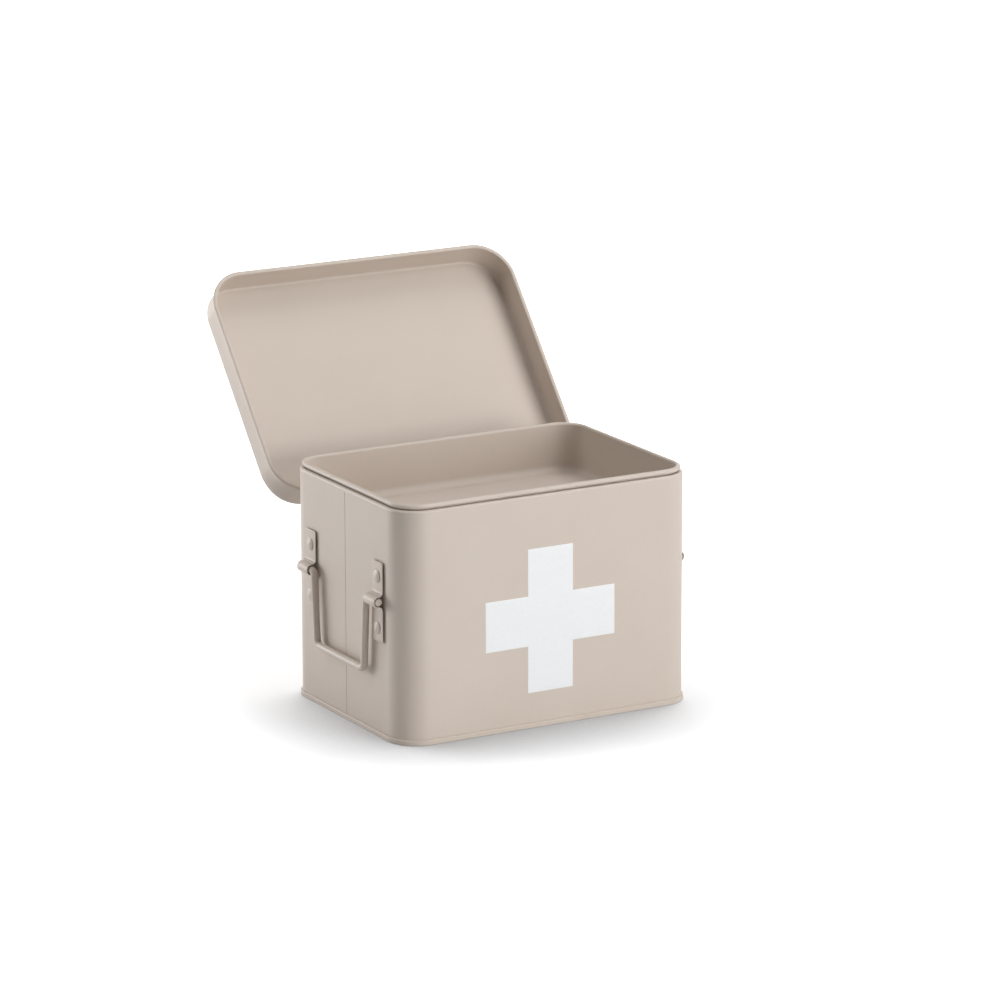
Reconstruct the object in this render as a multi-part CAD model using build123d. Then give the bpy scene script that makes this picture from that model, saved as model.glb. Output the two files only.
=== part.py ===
"""Sheet steel medicine box: hinged lid, lift-out tray, two swinging wire handles.

Millimetres, +Z up, X along the front, Y from front to back.
The origin is on the floor, under the middle of the box.
Every piece is drawn with the lid shut, and the lid's own pieces are then swung open,
because the box stands with its lid open.
"""
from build123d import *
import math
import os

# Box body
box_width = 215.0           # outside of the side walls
box_depth = 154.0           # outside of the front and back walls
box_height = 153.9          # top of the rolled edge, from the floor
corner_radius = 20.0        # upright corners, outside
body_sheet = 0.7            # wall thickness
edge_roll_radius = 1.75     # outside of the roll that turns the top edge inwards
edge_roll_turn = 250.0      # degrees that the edge is rolled through

# Bottom, seamed onto the walls
base_sheet = 0.6
base_seam_height = 3.5
base_seam_overhang = 1.25   # how far the seam stands out from the wall
base_recess = 3.0           # underside of the bottom, from the floor
base_bend_radius = 1.1      # where the bottom turns down into the seam
base_seam_rounding = 0.75
seam_clearance = 0.03       # between the wall and the seam that grips it

# Upright lock seam in the left wall
lock_seam_width = 5.0
lock_seam_thickness = 1.1   # folded layers, inside the wall
lock_groove_width = 0.45    # the line that shows outside
lock_groove_depth = 0.3
lock_seam_end_gap = 1.5     # from the seam's ends to the rolled edge and to the bottom

# Cross printed on the front
cross_size = 95.4
cross_arm = 33.2
cross_centre_height = 71.2
print_thickness = 0.12

# Lift-out tray
tray_sheet = 0.6
tray_depth = 29.9           # inside of the tray's floor, below the body's edge
tray_clearance = 0.4        # between the tray's wall and the rolled edge of the body
tray_bead_radius = 1.6      # outside of the bead round the tray
tray_bead_turn = 270.0      # degrees that the bead is rolled through
tray_floor_radius = 6.0     # outside, where wall meets floor
tray_rim_gap = 0.61         # dark slot between the body's edge and the bead above it
tray_rail_width = 5.0       # rails inside the side walls, which carry the tray
tray_rail_height = 8.0
tray_rail_sheet = 0.8
tray_rail_length = 46.0
tray_rail_spacing = 58.0    # between the middles of the two rails on a side
tray_seat_gap = 0.2         # between a rail's edge and the tray that rests on it

# Lid
lid_sheet = 0.6
lid_overhang = 5.7          # how far the skirt stands out from the body's walls
lid_skirt_height = 21.0
lid_corner_radius = 23.6    # upright corners, outside
lid_edge_radius = 4.0       # outside, between the top and the skirt
lid_panel_margin = 0.2      # the flat panel starts this far inside the rounded edge
lid_hem_height = 4.6        # the skirt's lower edge is folded back inside by this much
lid_seat_gap = 0.3          # between the shut lid and the tray's bead
lid_open_angle = 130.0      # from shut to leaning back on the hinges' body leaves
lid_stop_gap = 0.3          # between the open lid's rim and those leaves

# Hinges on the back
hinge_from_side = 45.5      # from a side wall to the middle of a hinge
hinge_length = 30.0
hinge_knuckles = 5
hinge_knuckle_gap = 0.3
hinge_leaf_sheet = 0.8
hinge_pin_radius = 1.0
hinge_pin_clearance = 0.05
hinge_pin_head_radius = 1.6
hinge_pin_head_height = 0.7
hinge_wall_clearance = 0.3  # between the knuckles and the back wall
hinge_body_leaf_height = 16.0
hinge_leaf_corner = 1.5
hinge_leaf_notch = 0.3      # room round a knuckle that belongs to the other leaf
hinge_rivet_spacing = 18.0
hinge_body_rivet_drop = 10.5
hinge_lid_rivet_rise = 2.6  # above the shut lid's lower rim

# Straps that hold the handles
strap_sheet = 0.6
strap_standoff = 0.9        # height of the washers that hold the strap off the wall
strap_width = 14.0
strap_rise = 25.2           # above the handle's pivot line
strap_drop = 27.2           # below it
strap_corner = 1.2
strap_spacing = 91.4        # between the middles of the two straps on a side
strap_bend_radius = 3.0     # on the wall side, where the strap bends outwards
strap_wire_clearance = 0.75
strap_upper_rivet_rise = 15.4
strap_lower_rivet_drop = 18.5

# Wire handles
wire_radius = 2.4
handle_below_edge = 62.7    # from the top of the rolled edge down to the pivot line
handle_axis_height = box_height - handle_below_edge
handle_axis_offset = 4.2    # from the wall to the middle of the wire
handle_drop = 48.8          # from the pivot line to the middle of the grip
handle_lean = 4.1           # degrees that the legs close in towards the grip
handle_top_bend = 2.9       # radii of the wire's middle line
handle_grip_bend = 4.6
handle_side_play = 0.3
handle_end_reach = 0.3      # the wire's ends stand out of the straps by this much
handle_end_chamfer = 0.4

# Rivets
strap_rivet_shank = 1.6     # radius
strap_rivet_head_radius = 4.2
strap_rivet_head_height = 1.4
strap_rivet_tail_radius = 2.5
strap_washer_radius = 3.2
hinge_rivet_shank = 1.1
hinge_rivet_head_radius = 2.0
hinge_rivet_head_height = 0.9
hinge_rivet_tail_radius = 1.8
rivet_tail_height = 0.7
rivet_hole_clearance = 0.05

# Places worked out from the sizes
half_width = box_width / 2
half_depth = box_depth / 2
edge_roll_height = box_height - edge_roll_radius
tray_wall_inset = 2 * edge_roll_radius + tray_clearance
tray_bead_inset = tray_wall_inset + tray_sheet - tray_bead_radius
tray_bead_height = box_height + tray_rim_gap + tray_bead_radius
tray_underside = box_height - tray_depth - tray_sheet
lid_inside_height = tray_bead_height + tray_bead_radius + lid_seat_gap
lid_top = lid_inside_height + lid_sheet
lid_rim = lid_top - lid_skirt_height
lid_hem_thickness = 2 * lid_sheet
knuckle_radius = hinge_pin_radius + hinge_pin_clearance + hinge_leaf_sheet
hinge_offset = knuckle_radius + hinge_wall_clearance
hinge_y = half_depth + hinge_offset
hinge_spacing = box_width - 2 * hinge_from_side


def open_rim_drop():
    """Height of the shut lid's rim above the hinge line that stops the open lid on the leaves."""
    swing = math.radians(lid_open_angle)
    nose = lid_hem_thickness / 2
    stop = hinge_leaf_sheet + lid_stop_gap + nose - hinge_offset
    reach = lid_overhang - nose - hinge_offset
    return (stop - reach * math.cos(swing)) / math.sin(swing) - nose


hinge_below_rim = open_rim_drop()
hinge_z = lid_rim - hinge_below_rim
hinge_axis = Axis((0, hinge_y, hinge_z), (1, 0, 0))
handle_axis_x = half_width + handle_axis_offset


def plan(inset, width=box_width, depth=box_depth, radius=corner_radius):
    """Rounded rectangle that lies this far inside the box's outline."""
    return RectangleRounded(width - 2 * inset, depth - 2 * inset, radius - inset)


def lid_plan(inset):
    """Rounded rectangle that lies this far inside the lid's outline."""
    width = box_width + 2 * lid_overhang
    depth = box_depth + 2 * lid_overhang
    return plan(inset, width, depth, lid_corner_radius)


def carried_round(section, outline, height):
    """Carries a section once round an outline. Its X points outwards and its Y points up."""
    path = Pos(0, 0, height) * outline.wire()
    start = path @ 0
    up = Vector(0, 0, 1)
    outwards = (path % 0).cross(up)
    if outwards.dot(start - Vector(0, 0, height)) < 0:
        outwards = -outwards
    return sweep(Plane(origin=start, x_dir=outwards, z_dir=outwards.cross(up)) * section, path)


def rolled_edge(radius, thickness, turn, start_angle):
    """Section of a rolled sheet edge, centred on the roll, from a starting angle anticlockwise."""
    ring = Circle(radius) - Circle(radius - thickness)
    mouth = 360 - turn
    reach = 2 * radius
    middle = math.radians(start_angle + turn + mouth / 2)
    half = math.radians(mouth / 2)
    corners = [(0, 0)]
    for angle in (middle - half, middle, middle + half):
        corners.append((reach * math.cos(angle), reach * math.sin(angle)))
    return ring - make_face(Polyline(corners, close=True))


def rivet(shank, head_radius, head_height, tail_radius, grip):
    """Domed rivet along +Z: head above zero, shank and flattened tail below it."""
    crown = ThreePointArc(*dome_points(head_radius, head_height))
    under = -grip
    bottom = under - rivet_tail_height
    flank = [
        (head_radius, 0),
        (shank, 0),
        (shank, under),
        (tail_radius, under),
        (tail_radius, bottom + rivet_tail_height / 3),
        (tail_radius - rivet_tail_height / 3, bottom),
        (0, bottom),
        (0, head_height),
    ]
    half = make_face(Curve() + [crown, Polyline(flank)])
    return revolve(Plane.XZ * half, Axis.Z)


def dome_points(radius, height):
    """Three points of a dome's section, from its top to its edge."""
    ball = (radius**2 + height**2) / (2 * height)
    middle = math.asin(radius / ball) / 2
    between = (ball * math.sin(middle), height - ball + ball * math.cos(middle))
    return (0, height), between, (radius, 0)


def strap_rivet_places():
    """Height and place along the wall of each strap rivet on one side."""
    places = []
    for sign in (-1, 1):
        along = sign * strap_spacing / 2
        places.append((along, handle_axis_height + strap_upper_rivet_rise))
        places.append((along, handle_axis_height - strap_lower_rivet_drop))
    return places


def hinge_rivet_places():
    """Places along X of the rivets in both hinges."""
    middles = (-hinge_spacing / 2, hinge_spacing / 2)
    return [middle + sign * hinge_rivet_spacing / 2 for middle in middles for sign in (-1, 1)]


def side_facing(side):
    """Plane on a side wall's outside whose Z points out of the box. Side is -1 left, 1 right."""
    return Plane(origin=(side * half_width, 0, 0), x_dir=(0, side, 0), z_dir=(side, 0, 0))


def back_facing(offset=0.0):
    """Plane on the back wall's outside, or this far behind it, whose Z points out of the box."""
    return Plane(origin=(0, half_depth + offset, 0), x_dir=(-1, 0, 0), z_dir=(0, 1, 0))


def drilled(part, facing, places, radius, depth):
    """Part with a through hole at each place on a plane, as deep as given on both sides."""
    for along, height in places:
        part -= facing * Pos(along, height, 0) * Cylinder(radius, 2 * depth)
    return part


def make_body_shell():
    """Wrapped wall with its rolled top edge, lock seam and rivet holes."""
    bottom = base_sheet + seam_clearance
    wall = extrude(plan(0) - plan(body_sheet), edge_roll_height - bottom)
    shell = Pos(0, 0, bottom) * wall
    roll = rolled_edge(edge_roll_radius, body_sheet, edge_roll_turn, 0)
    shell += carried_round(Pos(-edge_roll_radius, 0) * roll, plan(0), edge_roll_height)
    shell += lock_seam()
    shell -= lock_seam_line()
    hole = strap_rivet_shank + rivet_hole_clearance
    for side in (-1, 1):
        shell = drilled(shell, side_facing(side), strap_rivet_places(), hole, 2 * body_sheet)
    hinge_hole = hinge_rivet_shank + rivet_hole_clearance
    rivets = [(along, hinge_z - hinge_body_rivet_drop) for along in hinge_rivet_places()]
    return drilled(shell, back_facing(), rivets, hinge_hole, 2 * body_sheet)


def lock_seam():
    """Folded layers of the upright seam, inside the left wall."""
    low = base_recess + base_sheet + lock_seam_end_gap
    high = edge_roll_height - edge_roll_radius - lock_seam_end_gap
    middle = -half_width + body_sheet + lock_seam_thickness / 2
    fold = Box(lock_seam_thickness, lock_seam_width, high - low)
    edges = fold.edges().filter_by(Axis.Z).group_by(Axis.X)[-1]
    fold = chamfer(edges, lock_seam_thickness / 2)
    return Pos(middle, 0, (low + high) / 2) * fold


def lock_seam_line():
    """Fine groove that the seam leaves outside, over the wall's whole height."""
    low = base_seam_height
    high = edge_roll_height
    groove = Box(2 * lock_groove_depth, lock_groove_width, high - low)
    return Pos(-half_width, 0, (low + high) / 2) * groove


def make_tray_rails():
    """Four angle strips welded inside the side walls. Their edges carry the tray's floor."""
    inward = body_sheet + tray_rail_width - tray_wall_inset
    curve = math.sqrt(tray_floor_radius**2 - (tray_floor_radius - inward) ** 2)
    top = tray_underside + tray_floor_radius - curve - tray_seat_gap
    shelf = Pos(-tray_rail_width / 2, 0, -tray_rail_sheet / 2)
    shelf *= Box(tray_rail_width, tray_rail_length, tray_rail_sheet)
    leg = Pos(-tray_rail_sheet / 2, 0, -tray_rail_height / 2)
    leg *= Box(tray_rail_sheet, tray_rail_length, tray_rail_height)
    rail = Pos(half_width - body_sheet, tray_rail_spacing / 2, top) * (shelf + leg)
    pair = [rail, mirror(rail, Plane.XZ)]
    return pair + [mirror(one, Plane.YZ) for one in pair]


def make_base():
    """Bottom sheet, turned down inside the walls and seamed round their lower edge."""
    gap = body_sheet + seam_clearance
    inside = gap + base_sheet
    band = RectangleRounded(
        inside + base_seam_overhang, base_seam_height, base_seam_rounding,
        align=(Align.MIN, Align.MIN),
    )
    slot = Rectangle(gap + seam_clearance, base_seam_height, align=(Align.MIN, Align.MIN))
    section = Pos(-inside, 0) * (band - Pos(base_sheet, base_sheet) * slot)
    seam = carried_round(section, plan(0), 0)
    rise = base_recess - base_seam_rounding
    cup = extrude(plan(gap), rise + base_sheet)
    cup = fillet(cup.edges().group_by(Axis.Z)[-1], base_bend_radius)
    hollow = extrude(plan(inside), rise)
    hollow = fillet(hollow.edges().group_by(Axis.Z)[-1], base_bend_radius - base_sheet)
    return seam + Pos(0, 0, base_seam_rounding) * (cup - hollow)


def make_cross_print():
    """Thin even-armed cross on the front."""
    upright = Rectangle(cross_arm, cross_size)
    level = Rectangle(cross_size, cross_arm)
    front = Plane(origin=(0, -half_depth, cross_centre_height), x_dir=(1, 0, 0), z_dir=(0, -1, 0))
    return extrude(front * (upright + level), print_thickness)


def make_tray():
    """Drawn tray with a rolled bead, which stands on the rails just inside the body's mouth."""
    height = tray_bead_height - tray_underside
    outer = extrude(plan(tray_wall_inset), height)
    outer = fillet(outer.edges().group_by(Axis.Z)[0], tray_floor_radius)
    inner = extrude(plan(tray_wall_inset + tray_sheet), height)
    inner = fillet(inner.edges().group_by(Axis.Z)[0], tray_floor_radius - tray_sheet)
    tray = Pos(0, 0, tray_underside) * (outer - Pos(0, 0, tray_sheet) * inner)
    bead = rolled_edge(tray_bead_radius, tray_sheet, tray_bead_turn, 180 - tray_bead_turn)
    return tray + carried_round(bead, plan(tray_bead_inset), tray_bead_height)


def make_lid():
    """Shallow drawn lid, shut on the box: its skirt, with a hem folded inside, and its flat panel."""
    outer = extrude(lid_plan(0), lid_skirt_height)
    outer = fillet(outer.edges().group_by(Axis.Z)[-1], lid_edge_radius)
    hem_top = lid_hem_height - lid_sheet
    mouth = extrude(lid_plan(lid_hem_thickness), hem_top)
    cavity = extrude(lid_plan(lid_sheet), lid_skirt_height - lid_sheet - hem_top)
    cavity = fillet(cavity.edges().group_by(Axis.Z)[-1], lid_edge_radius - lid_sheet)
    cavity = chamfer(cavity.edges().group_by(Axis.Z)[0], lid_hem_thickness - lid_sheet)
    lid = Pos(0, 0, lid_rim) * (outer - mouth - Pos(0, 0, hem_top) * cavity)
    lid = fillet(lid.edges().group_by(Axis.Z)[0], lid_sheet * 0.95)
    flat = lid_plan(lid_edge_radius + lid_panel_margin)
    panel = Pos(0, 0, lid_inside_height) * extrude(flat, lid_sheet)
    hole = hinge_rivet_shank + rivet_hole_clearance
    rivets = [(along, lid_rim + hinge_lid_rivet_rise) for along in hinge_rivet_places()]
    skirt = drilled(lid - panel, back_facing(lid_overhang), rivets, hole, 2 * lid_hem_thickness)
    return [skirt, panel]


def knuckle_ranges(first):
    """Start and length along X of every second knuckle, from the first or the second one."""
    pitch = hinge_length / hinge_knuckles
    length = pitch - hinge_knuckle_gap
    start = -hinge_length / 2 + hinge_knuckle_gap / 2
    return [(start + index * pitch, length) for index in range(first, hinge_knuckles, 2)]


def leaf(plate_face, plate_end, first_knuckle, rivet_height):
    """Hinge leaf about the pin, which lies along X. The plate rises or falls to plate_end.

    The plate's face that is riveted down lies plate_face out from the pin along Y.
    """
    side = math.copysign(1.0, plate_face)
    rise = math.copysign(1.0, plate_end)
    near_face = plate_face - side * hinge_leaf_sheet
    plate_start = rise * knuckle_radius
    ring = Circle(knuckle_radius) - Circle(hinge_pin_radius + hinge_pin_clearance)
    crank = Polygon(
        (side * knuckle_radius, 0),
        (plate_face, plate_start),
        (near_face, plate_start),
        (side * (knuckle_radius - hinge_leaf_sheet), 0),
        align=None,
    )
    across = Plane(origin=(0, 0, 0), x_dir=(0, 1, 0), z_dir=(1, 0, 0))
    plate_length = abs(plate_end - plate_start)
    plate = Box(hinge_length, hinge_leaf_sheet, plate_length)
    corners = plate.edges().filter_by(Axis.Y).sort_by(Axis.Z)
    free_end = corners[2:] if rise > 0 else corners[:2]
    middle = (plate_face + near_face) / 2
    hinge_leaf = Pos(0, middle, (plate_start + plate_end) / 2) * fillet(free_end, hinge_leaf_corner)
    for start, length in knuckle_ranges(first_knuckle):
        hinge_leaf += Pos(start, 0, 0) * extrude(across * (ring + crank), length)
    for start, length in knuckle_ranges(1 - first_knuckle):
        keep_out = Cylinder(knuckle_radius + hinge_leaf_notch, length + 2 * hinge_knuckle_gap)
        hinge_leaf -= Pos(start + length / 2, 0, 0) * Rot(0, 90, 0) * keep_out
    hole = Cylinder(hinge_rivet_shank + rivet_hole_clearance, 4 * knuckle_radius)
    for along in (-hinge_rivet_spacing / 2, hinge_rivet_spacing / 2):
        hinge_leaf -= Pos(along, middle, rivet_height) * Rot(90, 0, 0) * hole
    return hinge_leaf


def make_body_leaf(side):
    """Hinge leaf that is riveted to the back wall."""
    wall_face = half_depth - hinge_y
    part = leaf(wall_face, -hinge_body_leaf_height, 0, -hinge_body_rivet_drop)
    return Pos(side * hinge_spacing / 2, hinge_y, hinge_z) * part


def make_lid_leaf(side):
    """Hinge leaf that is riveted inside the lid's rear skirt."""
    hem_face = half_depth + lid_overhang - lid_hem_thickness - hinge_y
    height = hinge_below_rim + lid_hem_height
    part = leaf(hem_face, height, 1, hinge_below_rim + hinge_lid_rivet_rise)
    return Pos(side * hinge_spacing / 2, hinge_y, hinge_z) * part


def make_hinge_pin(side):
    """Pin with a formed head at each end."""
    pin = Cylinder(hinge_pin_radius, hinge_length)
    for end in (-1, 1):
        head = Cylinder(hinge_pin_head_radius, hinge_pin_head_height)
        head = chamfer(head.edges(), hinge_pin_head_height / 3)
        pin += Pos(0, 0, end * (hinge_length + hinge_pin_head_height) / 2) * head
    return Pos(side * hinge_spacing / 2, hinge_y, hinge_z) * Rot(0, 90, 0) * pin


def hinge_rivet(grip):
    """Small rivet that grips this much metal."""
    return rivet(
        hinge_rivet_shank, hinge_rivet_head_radius, hinge_rivet_head_height,
        hinge_rivet_tail_radius, grip,
    )


def make_hinge_body_rivets():
    """Rivets that hold the body leaves to the back wall."""
    grip = hinge_leaf_sheet + body_sheet
    one = hinge_rivet(grip)
    height = hinge_z - hinge_body_rivet_drop
    facing = back_facing(hinge_leaf_sheet)
    return [facing * Pos(along, height, 0) * one for along in hinge_rivet_places()]


def make_hinge_lid_rivets():
    """Rivets that hold the lid leaves, with their heads outside the rear skirt."""
    grip = lid_hem_thickness + hinge_leaf_sheet
    one = hinge_rivet(grip)
    height = lid_rim + hinge_lid_rivet_rise
    facing = back_facing(lid_overhang)
    return [facing * Pos(along, height, 0) * one for along in hinge_rivet_places()]


def make_strap(side, end):
    """Strap bent over the wire and riveted on beside the wall. End is -1 front, 1 rear."""
    inside = wire_radius + strap_wire_clearance
    bend_start = handle_axis_height - inside - strap_bend_radius
    lower = Line((strap_standoff, handle_axis_height - strap_drop), (strap_standoff, bend_start))
    turn_out = JernArc(lower @ 1, lower % 1, strap_bend_radius, -90)
    out = Line(turn_out @ 1, (handle_axis_offset, (turn_out @ 1).Y))
    over = JernArc(out @ 1, out % 1, inside, 180)
    back = Line(over @ 1, (strap_standoff + strap_bend_radius, (over @ 1).Y))
    turn_up = JernArc(back @ 1, back % 1, strap_bend_radius, -90)
    upper = Line(turn_up @ 1, (strap_standoff, handle_axis_height + strap_rise))
    line = Curve() + [lower, turn_out, out, over, back, turn_up, upper]
    section = make_face(Wire(line.edges()).offset_2d(strap_sheet, side=Side.RIGHT, closed=True))
    face = Plane(origin=(0, -strap_width / 2, 0), x_dir=(1, 0, 0), z_dir=(0, -1, 0))
    strap = extrude(face * section, -strap_width)
    across = strap.edges().filter_by(Axis.X).group_by(Axis.Z)
    strap = fillet(across[0] + across[-1], strap_corner)
    turned = Rot(0, 0, 0) if side > 0 else Rot(0, 0, 180)
    strap = Pos(side * half_width, end * strap_spacing / 2, 0) * turned * strap
    hole = strap_rivet_shank + rivet_hole_clearance
    return drilled(strap, side_facing(side), strap_rivet_places(), hole, 4 * strap_standoff)


def make_strap_washers(side):
    """The four washers between the straps and the wall on one side."""
    one = Cylinder(strap_washer_radius, strap_standoff)
    one -= Cylinder(strap_rivet_shank + rivet_hole_clearance, 2 * strap_standoff)
    facing = side_facing(side).offset(strap_standoff / 2)
    return [facing * Pos(along, height, 0) * one for along, height in strap_rivet_places()]


def make_strap_rivets(side):
    """The four rivets on one side."""
    one = rivet(
        strap_rivet_shank, strap_rivet_head_radius, strap_rivet_head_height,
        strap_rivet_tail_radius, strap_sheet + strap_standoff + body_sheet,
    )
    facing = side_facing(side).offset(strap_standoff + strap_sheet)
    return [facing * Pos(along, height, 0) * one for along, height in strap_rivet_places()]


def handle_line():
    """Middle line of the wire, seen along X: Y along the wall, Z up."""
    inner_end = (strap_spacing - strap_width) / 2 - handle_side_play
    turn = 90 - handle_lean
    top_corner = inner_end - handle_top_bend * math.tan(math.radians(turn / 2))
    grip_corner = top_corner - handle_drop * math.tan(math.radians(handle_lean))
    end = (strap_spacing + strap_width) / 2 + handle_end_reach
    top = handle_axis_height
    grip = handle_axis_height - handle_drop
    points = [(0, end, top), (0, top_corner, top), (0, grip_corner, grip)]
    points += [(0, -y, z) for _, y, z in reversed(points)]
    return FilletPolyline(points, radius=[
        handle_top_bend, handle_grip_bend, handle_grip_bend, handle_top_bend,
    ])


def make_handle(side):
    """Wire handle, hanging straight down from its straps."""
    line = handle_line()
    section = Plane(origin=line @ 0, z_dir=line % 0) * Circle(wire_radius)
    handle = sweep(section, line)
    ends = handle.edges().filter_by(GeomType.CIRCLE).filter_by(lambda e: is_wire_end(e, line))
    handle = chamfer(ends, handle_end_chamfer)
    return Pos(side * handle_axis_x, 0, 0) * handle


def is_wire_end(edge, line):
    """True for the circle at either end of a wire."""
    centre = edge.arc_center
    return min((centre - line @ 0).length, (centre - line @ 1).length) < 0.01


def swung_open(part):
    """Piece of the lid, turned back about the hinge line from shut to open."""
    return part.rotate(hinge_axis, -lid_open_angle)


def write(name, part):
    """Writes one node. A list of solids is written as a group."""
    solids = Compound(children=[Part() + piece for piece in part]) if isinstance(part, list) else part
    export_step(solids, f"parts/{name}.step")


def main():
    """Builds every piece and writes it."""
    os.makedirs("parts", exist_ok=True)
    write("body_shell", make_body_shell())
    write("base_panel", make_base())
    write("cross_print", make_cross_print())
    write("tray_rails", make_tray_rails())
    write("tray", make_tray())
    write("lid", [swung_open(piece) for piece in make_lid()])
    write("hinge_body_rivets", make_hinge_body_rivets())
    write("hinge_lid_rivets", [swung_open(piece) for piece in make_hinge_lid_rivets()])
    for name, side in (("left", -1), ("right", 1)):
        write(f"hinge_body_leaf_{name}", make_body_leaf(side))
        write(f"hinge_lid_leaf_{name}", swung_open(make_lid_leaf(side)))
        write(f"hinge_pin_{name}", make_hinge_pin(side))
        write(f"strap_{name}_front", make_strap(side, -1))
        write(f"strap_{name}_rear", make_strap(side, 1))
        write(f"strap_washers_{name}", make_strap_washers(side))
        write(f"strap_rivets_{name}", make_strap_rivets(side))
        write(f"handle_{name}", make_handle(side))


main()
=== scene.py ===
"""Looks of a small sheet-steel medicine box: powder coat, print, handle straps, rivets and wire.

The CAD model gives the walls, tray, lid and hinges. This file gives them their coat of
powder, and replaces the small formed pieces by smooth surfaces with softened edges.
Sizes are in millimetres in the classes and in metres in the meshes.
"""

from __future__ import annotations

import logging
import math
from collections.abc import Callable
from dataclasses import dataclass, replace
from enum import Enum
from functools import cache
from typing import Any

import bpy
import numpy as np
from bpy.types import Material, Node, NodeSocket, NodeTree, Object
from mathutils import Matrix, Vector


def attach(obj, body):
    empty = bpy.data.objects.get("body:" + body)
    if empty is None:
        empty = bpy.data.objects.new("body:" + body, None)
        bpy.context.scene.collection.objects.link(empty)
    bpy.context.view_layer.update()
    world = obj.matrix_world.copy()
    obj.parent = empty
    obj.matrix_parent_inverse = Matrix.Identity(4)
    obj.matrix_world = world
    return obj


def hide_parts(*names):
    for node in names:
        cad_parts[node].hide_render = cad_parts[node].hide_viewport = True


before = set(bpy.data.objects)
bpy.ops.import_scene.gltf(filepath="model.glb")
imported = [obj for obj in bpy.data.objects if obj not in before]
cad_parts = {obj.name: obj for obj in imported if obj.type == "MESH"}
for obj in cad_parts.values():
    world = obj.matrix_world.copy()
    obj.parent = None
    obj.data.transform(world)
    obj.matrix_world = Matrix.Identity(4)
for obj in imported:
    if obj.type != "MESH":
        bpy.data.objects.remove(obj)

log = logging.getLogger("medicine_box")
Array = np.ndarray
Pairs = tuple[tuple[float, float], ...]
Sockets = dict[str, Any]
MM = 0.001
# Refractive index of baked powder and cured ink
RESIN_IOR = 1.5
# Sockets of a colour mix: both inputs, and the output
MIX_A, MIX_B, MIX_OUT = 6, 7, 2


class Side(Enum):
    """The two handle sides, with the sign of X that each looks along."""

    LEFT = -1
    RIGHT = 1

    @property
    def label(self) -> str:
        """Lower-case word used in node names."""
        return self.name.lower()


class End(Enum):
    """The front and rear strap of one side, with the sign of Y."""

    FRONT = -1
    REAR = 1


class Slot(Enum):
    """Material slots of the record."""

    COAT = "taupe_powder_coat"
    PRINT = "white_print"


def linear(colour: str) -> tuple[float, float, float, float]:
    """Turns an sRGB hex colour into linear red, green, blue and alpha.

    Args:
        colour: Six hex digits after a hash sign.

    Returns:
        Linear channels from 0 to 1, with an alpha of 1.
    """
    channels = np.array([int(colour[i : i + 2], 16) for i in (1, 3, 5)]) / 255.0
    low = channels / 12.92
    high = ((channels + 0.055) / 1.055) ** 2.4
    red, green, blue = np.where(channels <= 0.04045, low, high)
    return float(red), float(green), float(blue), 1.0


def per_metre(size_mm: float) -> float:
    """Noise scale, in cells per metre, whose cells are this many millimetres across."""
    return 1000.0 / size_mm


def add_node(
    tree: NodeTree, kind: str, inputs: dict[Any, Any] | None = None, **settings: Any
) -> Node:
    """Adds one shader node with its settings, values and links.

    Args:
        tree: Node tree to add to.
        kind: Blender's type name of the node.
        inputs: Values or output sockets, by the input's name or number.
        settings: Attributes of the node.

    Returns:
        The new node.
    """
    node = tree.nodes.new(kind)
    for name, value in settings.items():
        setattr(node, name, value)
    for key, value in (inputs or {}).items():
        if isinstance(value, NodeSocket):
            tree.links.new(value, node.inputs[key])
        else:
            node.inputs[key].default_value = value
    return node


def new_material(name: str, sockets: Callable[[NodeTree, NodeSocket], Sockets]) -> Material:
    """Makes a material with one shader.

    Args:
        name: Name of the material.
        sockets: Gives the shader's values and links, from the tree and Object coordinates.

    Returns:
        The material.
    """
    material = bpy.data.materials.new(name)
    material.use_nodes = True
    tree = material.node_tree
    tree.nodes.clear()
    place = add_node(tree, "ShaderNodeTexCoord").outputs["Object"]
    shader = add_node(tree, "ShaderNodeBsdfPrincipled", sockets(tree, place))
    add_node(tree, "ShaderNodeOutputMaterial", {"Surface": shader.outputs["BSDF"]})
    return material


def placed(name: str, data: bpy.types.ID) -> Object:
    """Makes an object at the origin and links it to the scene.

    Args:
        name: Name of the object.
        data: Its mesh, lamp or camera.

    Returns:
        The new object.
    """
    piece = bpy.data.objects.new(name, data)
    bpy.context.scene.collection.objects.link(piece)
    return piece


def direction(azimuth_deg: float, elevation_deg: float) -> Vector:
    """Unit vector (sin a cos e, -cos a cos e, sin e) towards an azimuth a and elevation e."""
    around, up = math.radians(azimuth_deg), math.radians(elevation_deg)
    return Vector((math.sin(around) * math.cos(up), -math.cos(around) * math.cos(up), math.sin(up)))


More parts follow.
